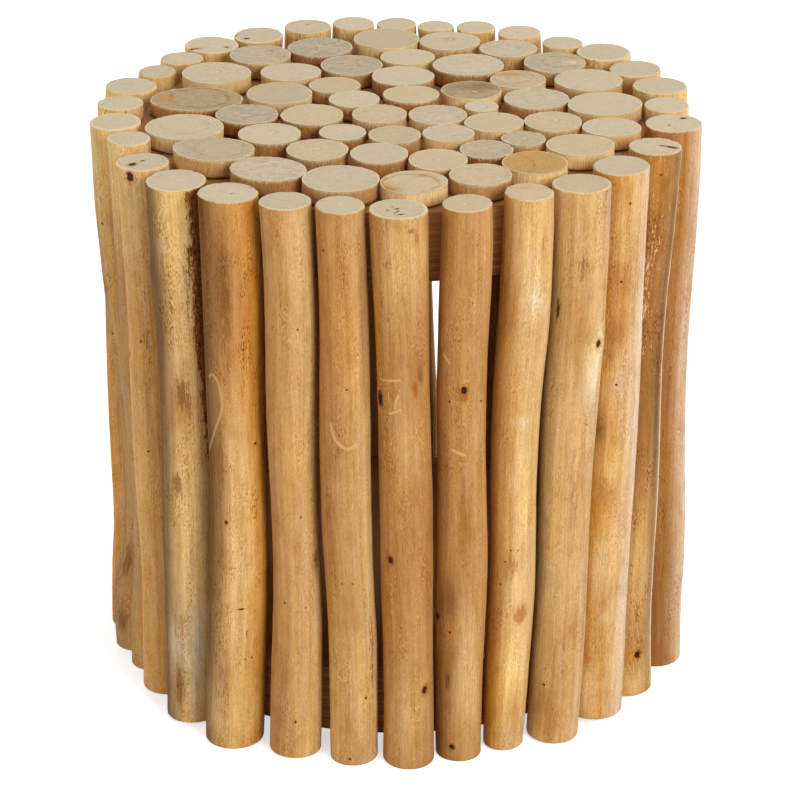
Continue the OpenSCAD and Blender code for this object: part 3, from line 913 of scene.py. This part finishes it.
class Finish:
    """The nodes of a material, or of the room's light, with the few patterns that
    the wood is made of."""

    def __init__(self, name, kind="materials"):
        self.owner = getattr(bpy.data, kind).new(name)
        self.owner.use_nodes = True
        self.tree = self.owner.node_tree
        self.tree.nodes.clear()
        if kind == "materials":
            self.place = self.add("ShaderNodeTexCoord", output="Object")

    def add(self, kind, settings=(), inputs=(), output=0):
        """Adds a node of a kind with its settings, and the values or links of its
        sockets, and gives back one of its outputs."""
        node = self.tree.nodes.new(kind)
        for name, value in dict(settings).items():
            setattr(node, name, value)
        for name, value in dict(inputs).items():
            if isinstance(value, Value):
                self.tree.links.new(value.socket, node.inputs[name])
            else:
                node.inputs[name].default_value = value
        return Value(self, node.outputs[output]) if node.outputs else None

    def field(self, name, output="Fac"):
        """A value that the mesh holds at every point."""
        return self.add("ShaderNodeAttribute", {"attribute_name": name}, output=output)

    def vector(self, operation, *values, output=0):
        """A Vector Math node on colours or places."""
        values = enumerate(values)
        return self.add("ShaderNodeVectorMath", {"operation": operation}, values, output)

    def part(self, vector, axis):
        """One of the three numbers of a vector."""
        return self.add("ShaderNodeSeparateXYZ", {}, {0: vector}, axis)

    def lumps(self, size, detail=2.0, roughness=0.5, place=None):
        """Noise round 0.5, whose lumps are about size millimetres in each axis."""
        scaled = self.vector("MULTIPLY", place or self.place, [1000 / s for s in size])
        inputs = {"Vector": scaled, "Scale": 1.0, "Detail": detail, "Roughness": roughness}
        return self.add("ShaderNodeTexNoise", {}, inputs)

    def step(self, value, low, high):
        """0 below low and 1 above high, and the other way round if low is higher."""
        inputs = {"Value": value, "From Min": low, "From Max": high}
        return self.add("ShaderNodeMapRange", {"interpolation_type": "SMOOTHSTEP"}, inputs)

    def mix(self, factor, start, end):
        """Goes from one colour to another as factor goes from 0 to 1."""
        colours = [tuple(c) + (1.0,) if not isinstance(c, Value) else c for c in (start, end)]
        inputs = {0: factor, 6: colours[0], 7: colours[1]}
        return self.add("ShaderNodeMix", {"data_type": "RGBA"}, inputs, 2)

    def shade(self, colour, share):
        """A colour made lighter or darker by a share."""
        inputs = {"Vector": colour, "Scale": share}
        return self.add("ShaderNodeVectorMath", {"operation": "SCALE"}, inputs)

    def tint(self, colour, red, green, blue):
        """A colour with each of its three numbers times a share of its own."""
        return self.vector("MULTIPLY", colour, (red, green, blue))

    def weather(self, colour, share):
        """A colour made paler by a share above 0 and browner by one below it: its
        blue changes more than its green, and its green more than its red."""
        gain = self.shade((0.8, 1.08, 1.5), share)
        return self.vector("MULTIPLY", colour, self.vector("ADD", gain, (1, 1, 1)))

    def surface(self, colour, roughness, height, deep, **constants):
        """Ends the finish: colour, roughness, relief of deep metres, constants."""
        bump = {"Height": height, "Distance": deep, "Strength": 1.0}
        relief = self.add("ShaderNodeBump", {}, bump)
        inputs = {"Base Color": colour, "Roughness": roughness, "Normal": relief, **constants}
        shader = self.add("ShaderNodeBsdfPrincipled", {}, inputs)
        self.add("ShaderNodeOutputMaterial", {}, {"Surface": shader})
        return self.owner

    def white_behind(self, plain, white):
        """Shows white to the camera and in what is shiny or clear, and plain to
        all else, so that the light on the stool stays as it is."""
        path = self.tree.nodes.new("ShaderNodeLightPath")
        rays = [Value(self, path.outputs[f"Is {ray} Ray"]) for ray in SEEN_BY]
        seen = rays[0].math("MAXIMUM", rays[1]).math("MAXIMUM", rays[2])
        return self.add("ShaderNodeMixShader", {}, {0: seen, 1: plain, 2: white})


def end_grain(f, tone, grey):
    """Colour and relief of sawn end grain: faint wavering growth rings round the
    pith, grey and brown blooms, scribbles and a pale frayed rim."""
    pith = f.field("pith", "Vector")
    flat = f.vector("MULTIPLY", pith, (1, 1, 0))
    core = f.part(pith, "Z")
    away = f.vector("LENGTH", flat, output="Value") * 1000
    cloud = f.lumps((13, 13, 13), 4, 0.6)
    warmth = f.lumps((9, 9, 9), 2)
    wobble = f.lumps((7, 7, 7), 3, 0.55)
    fibre = f.lumps((0.6, 0.6, 0.6), 3, 0.7)
    patch = f.lumps((5.5, 2.4, 5), 4, 0.68)
    deep = f.field("deep") * 1000
    lines = f.field("lines", "Vector")
    band = f.part(lines, "X")
    band_share = f.part(lines, "Y")
    ring_share = f.part(lines, "Z")
    ring = ((away * 0.32 + wobble * 3) * RING_TURN).math("SINE")
    broken = f.step(ring, 0.3, 1.0) * f.step(patch, 0.42, 0.58) * (ring_share * 0.6 + 0.25)
    light = 1.02 + (cloud - 0.5) * 0.4 + (fibre - 0.5) * 0.8 + (patch - 0.5) * 0.5
    colour = f.shade(tone, light + ring * 0.015)
    colour = f.mix(f.step(warmth, 0.45, 0.7) * 0.35, colour, f.tint(colour, 1.03, 0.97, 0.86))
    bloom = f.step(cloud + (patch - 0.5) * 1.1 + f.step(deep, 14, 1) * 0.06, 0.46, 0.6)
    colour = f.mix(bloom * (grey * 0.7 + 0.12), colour, f.tint(colour, 0.72, 0.74, 0.8))
    scribble = f.step(patch + (fibre - 0.5) * 0.9, 0.58, 0.7) * (grey * 0.7 + 0.2)
    colour = f.mix(scribble, colour, f.tint(colour, 0.62, 0.55, 0.47))
    colour = f.mix(broken, colour, f.tint(colour, 0.82, 0.7, 0.52))
    broad = f.step((away - band + (wobble - 0.5) * 9).math("ABSOLUTE"), 1.8, 0.5) * band_share
    colour = f.mix(broad * f.step(patch, 0.3, 0.55), colour, f.tint(colour, 0.78, 0.64, 0.44))
    ragged = away + (wobble - 0.5) * 5 + (patch - 0.5) * 3
    outline = f.step((ragged - 2.8).math("ABSOLUTE"), 0.9, 0.2) * core * f.step(patch, 0.4, 0.5)
    inner = f.step(ragged, 2.6, 1.6) * core
    colour = f.mix(inner * 0.4, colour, wood("cream"))
    colour = f.mix(outline * 0.5, colour, f.tint(colour, 0.66, 0.48, 0.28))
    rim = f.step(deep + (fibre - 0.5) * 2.4 + (patch - 0.5) * 2, 1.1, 0.3)
    colour = f.mix(rim * 0.7, colour, wood("cream"))
    height = fibre * 0.6 + ring * 0.05 + patch * 0.4
    return colour, height


def dark_marks(f, colour, edge):
    """Lays knots and worm holes on a colour: a dark middle in a brown ring."""
    knot = f.field("knot") + (edge - 0.5) * 1.6
    colour = f.mix(f.step(knot, 2.3, 0.9) * 0.7, colour, f.tint(colour, 0.72, 0.44, 0.2))
    middle = wood("bark") * (0.3, 0.25, 0.3)
    return f.mix(f.step(knot, 1.1, 0.75) * 0.95, colour, middle)


def peeled_branch():
    """Peeled and sanded branch wood: fibres and bands that run up the post,
    speckled mottling, dashes, strips of inner bark, knots, scars and sawn ends."""
    f = Finish("peeled_branch")
    tone = f.field("tone", "Vector")
    mottle = f.field("mottle")
    grain = f.field("grain", "Vector")
    fine = f.lumps((0.6, 0.6, 12), 3, 0.6, grain)
    thread = f.lumps((1.4, 1.4, 50), 2, 0.5, grain)
    band = f.lumps((5, 5, 110), 2, 0.5, grain)
    cloud = f.lumps((13, 13, 34), 3, 0.55, grain)
    dash = f.lumps((0.8, 0.8, 2.3), 2, 0.7, grain)
    blot = f.lumps((2.6, 2.6, 8), 2, 0.6, grain)
    fleck = f.lumps((1.0, 1.0, 5), 1, 0.5, grain)
    hue = f.lumps((11, 11, 60), 2, 0.5, grain)
    along = (fine - 0.5) * 0.42 + (thread - 0.5) * 0.42 + (band - 0.5) * 0.8
    along = along + (cloud - 0.5) * 0.3 + (blot - 0.5) * 0.3
    spots = f.step(cloud + (dash - 0.5) * 0.4 + (blot - 0.5) * 0.5, 0.46, 0.6) * mottle
    soft = f.step(f.lumps((9, 9, 17), 3, 0.5, grain), 0.47, 0.68)
    peeled = f.mix(soft * 0.5, tone, f.tint(tone, 0.84, 0.74, 0.58))
    cool, warm = f.tint(peeled, 1.0, 1.0, 1.08), f.tint(peeled, 1.0, 0.98, 0.86)
    colour = f.mix(f.step(hue, 0.4, 0.62), cool, warm)
    colour = f.mix(spots * 0.7, colour, f.tint(peeled, 0.78, 0.67, 0.5))
    stain = f.field("stain") + (fine - 0.5) * 1.5 + (dash - 0.5) * 1.6 + (blot - 0.5)
    colour = f.mix(f.step(stain, 0.36, 0.66) * 0.92, colour, f.field("stain_tone", "Vector"))
    dots = (dash - 0.5).math("MINIMUM", 0.03)
    speckle = dots * (spots * 5.0 + 0.2) + spots * 0.1 + (dash - 0.5) * 0.55
    speckle = speckle + (blot - 0.5) * spots
    colour = f.weather(colour, along + speckle)
    brown_dash = f.step(dash + (fleck - 0.5) * 0.6, 0.36, 0.26) * (spots * 0.6 + 0.1)
    colour = f.mix(brown_dash, colour, f.tint(colour, 0.55, 0.42, 0.28))
    colour = f.mix(f.step(fleck, 0.7, 0.77) * 0.5, colour, f.tint(colour, 0.5, 0.38, 0.26))
    pale_fleck = f.step(fleck, 0.3, 0.22) * spots * 0.45
    colour = f.mix(pale_fleck, colour, f.tint(colour, 1.14, 1.22, 1.4))
    strip = f.field("strip") + (dash - 0.5) * 12 + (blot - 0.5) * 14
    brown = f.mix(f.step(dash + (fine - 0.5) * 0.6, 0.42, 0.62), wood("bark"), wood("rust"))
    colour = f.mix(f.step(strip, -0.3, 0.3) * 0.95, colour, f.shade(brown, 0.7 + fine * 0.8))
    scar = f.step(f.field("scar") + (dash - 0.5) * 1.6, 1.7, 0.1) * 0.42
    colour = f.mix(scar, colour, wood("butter"))
    deep = f.field("deep") * 1000
    lip = f.step(deep + (thread - 0.5) * 2 + (fine - 0.5) * 2.5, 0.9, 0.2)
    colour = f.mix(lip * 0.6, colour, wood("cream"))
    face, relief = end_grain(f, tone, 0.25)
    end = f.step(f.field("sawn") + (dash - 0.5) * 0.8, 0.42, 0.58)
    colour = dark_marks(f, f.mix(end, colour, face), dash)
    height = (fine * 0.8 + thread * 0.5 + dash * 0.7) * (1 - end) + relief * end
    height = height - f.step(f.field("knot"), 1.3, 0.5) * 2
    rough = 0.52 + fine * 0.14 + end * 0.2
    return f.surface(colour, rough, height, 0.0005, **{"Specular IOR Level": 0.08})


def branch_slice():
    """Branch slices: sawn end grain above a wall with upright streaks of inner
    bark under a pale frayed rim."""
    f = Finish("branch_slice")
    tone = f.field("tone", "Vector")
    bark = f.field("bark")
    fine = f.lumps((0.5, 0.5, 7), 3, 0.65)
    wide = f.lumps((1.8, 1.8, 18), 3, 0.6)
    dash = f.lumps((0.9, 0.9, 2.6), 2, 0.6)
    # The pale lumps in pear times 1.15 and the lift of 0.06 make the walls lighter than their
    # tone: partly pale fibres and partly painted light against the shade that neighbouring
    # slices and posts cast on them
    pale = f.step(fine + (wide - 0.5) * 0.6 - bark * 0.08, 0.4, 0.56)
    wall = f.mix(pale * 0.75, tone, wood("pear") * 1.15)
    wall = f.weather(wall, 0.06 + (fine - 0.5) * 1.6 + (wide - 0.5) * 0.5 + (dash - 0.5) * 0.6)
    streak = f.step(wide + (fine - 0.5) * 1.4 + (dash - 0.5) * 0.8 + bark * 0.16, 0.53, 0.64)
    wall = f.mix(streak * (bark * 0.85), wall, wood("rust") * (0.85, 0.8, 0.8))
    dark = f.step(fine + (wide - 0.5) * 0.8 + bark * 0.1, 0.64, 0.74)
    wall = f.mix(dark * (bark * 0.65), wall, wood("bark"))
    deep = f.field("deep") * 1000
    lip = f.step(deep + (fine - 0.5) * 7 + (dash - 0.5) * 4, 2.2, 0.8)
    wall = f.mix(lip * 0.8, wall, wood("cream") * 0.92)
    face, relief = end_grain(f, tone, f.field("streaks"))
    end = f.step(f.field("sawn") + (dash - 0.5) * 0.6, 0.4, 0.6)
    colour = dark_marks(f, f.mix(end, wall, face), dash)
    height = (fine * 1.2 + wide * 1.2) * (1 - end) + relief * end
    rough = 0.6 + fine * 0.16
    return f.surface(colour, rough, height, 0.0005, **{"Specular IOR Level": 0.1})


def plywood():
    """Stained plywood: level plies with dark glue lines, fibres along them, and the
    upper board's top face darkened as painted shade.
    """
    f = Finish("stained_plywood")
    height = f.part(f.place, "Z")
    sway = f.lumps((60, 60, 60), 2)
    plies_per_metre = 330
    layer = height * plies_per_metre + sway * 0.2
    glue = f.step((layer.math("FRACT") - 0.5).math("ABSOLUTE"), 0.43, 0.49)
    ply = f.lumps((9000, 9000, 3), 0)
    fine = f.lumps((9, 9, 0.5), 3, 0.6)
    tone = f.mix(f.step(ply, 0.4, 0.6), wood("clay"), wood("umber") * 1.3)
    colour = f.shade(tone, 1.1 + fine * 0.6)
    colour = f.mix(glue * 0.45, colour, wood("bark"))
    # Painted shade: the upper board's top face, seen only in the gaps between slices, is
    # darkened to stand for the shade in those gaps
    shaded_board_face = f.step(height, BOARD_TOP - 0.3 * MM, BOARD_TOP) * 0.7
    colour = f.mix(shaded_board_face, colour, f.tint(colour, 0.26, 0.2, 0.14))
    return f.surface(colour, 0.75 + fine * 0.1, fine - glue, 0.0003)


def bare_steel():
    """Plain steel wire and turned steel, lightly scratched."""
    f = Finish("bare_steel")
    scratch = f.lumps((0.4, 0.4, 3), 3, 0.6)
    colour = f.mix(scratch, (0.42, 0.42, 0.43), (0.62, 0.62, 0.63))
    return f.surface(colour, 0.3 + scratch * 0.25, scratch, 0.00005, Metallic=1.0)


# Making the stool

branch = peeled_branch()
for number in range(1, POST_COUNT + 1):
    peeled_post(number, branch)
slices = branch_slice()
for number in range(1, EDGE_SLICE_COUNT + 1):
    sawn_slices(f"edge_slice_{number:02d}", slices, 100 * number)
sawn_slices("slices_middle", slices, 3000)
sawn_slices("slices_centre", slices, 4000)

for finish, nodes in (
    (plywood(), ("upper_board", "upper_hoop", "lower_board", "lower_hoop")),
    (bare_steel(), ("upper_nails", "lower_nails", "upper_screws", "lower_screws")),
):
    for node in nodes:
        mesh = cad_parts[node].data
        mesh.materials.clear()
        mesh.materials.append(finish)


# The floor, the light and the camera


# Half the floor's width in metres, and how much it glows to look white
FLOOR_REACH = 6
FLOOR_GLOW = 0.62
# Strength of the even light from all round
ROOM_LIGHT = 0.34
# Each lamp's name, place, height that it shines at, width and power
LAMPS = (
    ("key", (1.7, -2.6, 1.7), 0.2, 1.5, 78),
    ("fill", (-2.6, -1.6, 0.9), 0.2, 1.8, 22),
    ("top", (0.2, 0.5, 2.6), 0.3, 1.8, 22),
    ("rear_right", (2.2, 1.6, 0.9), 0.2, 1.4, 24),
    ("rear_left", (-2.2, 1.6, 0.9), 0.2, 1.4, 12),
)
# The camera's distance in front, its height, the height that it looks at, the
# lens and the film's width in millimetres, and its shifts
CAMERA_FRONT, CAMERA_HEIGHT, CAMERA_AIM = 2.32842, 1.23847, 0.21
CAMERA_LENS, FILM_WIDTH = 153.89, 36
CAMERA_SHIFT = (0.00853, -0.0307)


def floor():
    """A pale floor, flat on a square grid of count points a side. It looks white
    to the camera, and keeps a faint shadow."""
    count = 13
    across = np.linspace(-FLOOR_REACH, FLOOR_REACH, count)
    x, y = np.meshgrid(across, across)
    points = np.stack([x, y, x * 0], -1).reshape(-1, 3)
    row, column = np.meshgrid(np.arange(count - 1), np.arange(count - 1), indexing="ij")
    first = (row * count + column).ravel()
    quads = np.stack([first, first + 1, first + count + 1, first + count], -1)
    mesh = bpy.data.meshes.new("floor")
    mesh.from_pydata(points.tolist(), [], quads.tolist())
    piece = in_scene("floor", mesh)
    f = Finish("pale_floor")
    grain = f.lumps((4, 4, 4), 2)
    colour = f.mix(grain, (0.80, 0.80, 0.80), (0.84, 0.84, 0.84))
    matt = f.add("ShaderNodeBsdfDiffuse", {}, {"Color": colour})
    glow = f.add("ShaderNodeEmission", {}, {"Color": WHITE, "Strength": FLOOR_GLOW})
    both = f.add("ShaderNodeAddShader", {}, {0: matt, 1: glow})
    f.add("ShaderNodeOutputMaterial", {}, {"Surface": f.white_behind(matt, both)})
    piece.data.materials.append(f.owner)


def light(name, place, aim, size, power):
    """A square soft light at place, which shines at a height in the middle."""
    data = bpy.data.lights.new(name, "AREA")
    data.shape = "SQUARE"
    data.size = size
    data.energy = power
    lamp = in_scene(name, data)
    away = np.array(place) - (0, 0, aim)
    lamp.location = place
    level = math.hypot(away[0], away[1])
    lamp.rotation_euler = (math.atan2(level, away[2]), 0, math.atan2(away[0], -away[1]))


def room():
    """An even white light from all round, which looks white behind the stool."""
    f = Finish("white_room", "worlds")
    dim = f.add("ShaderNodeBackground", {}, {"Color": WHITE, "Strength": ROOM_LIGHT})
    white = f.add("ShaderNodeBackground", {}, {"Color": WHITE, "Strength": 1.0})
    f.add("ShaderNodeOutputWorld", {}, {"Surface": f.white_behind(dim, white)})
    bpy.context.scene.world = f.owner


floor()
for lamp in LAMPS:
    light(*lamp)
room()

camera = in_scene("camera", bpy.data.cameras.new("camera"))
camera.location = (0, -CAMERA_FRONT, CAMERA_HEIGHT)
camera.rotation_euler = (math.atan2(CAMERA_FRONT, CAMERA_HEIGHT - CAMERA_AIM), 0, 0)
camera.data.lens = CAMERA_LENS
camera.data.sensor_width = FILM_WIDTH
camera.data.shift_x, camera.data.shift_y = CAMERA_SHIFT
camera.data.clip_end = 50
bpy.context.scene.camera = camera
bpy.context.scene.view_settings.view_transform = "Standard"
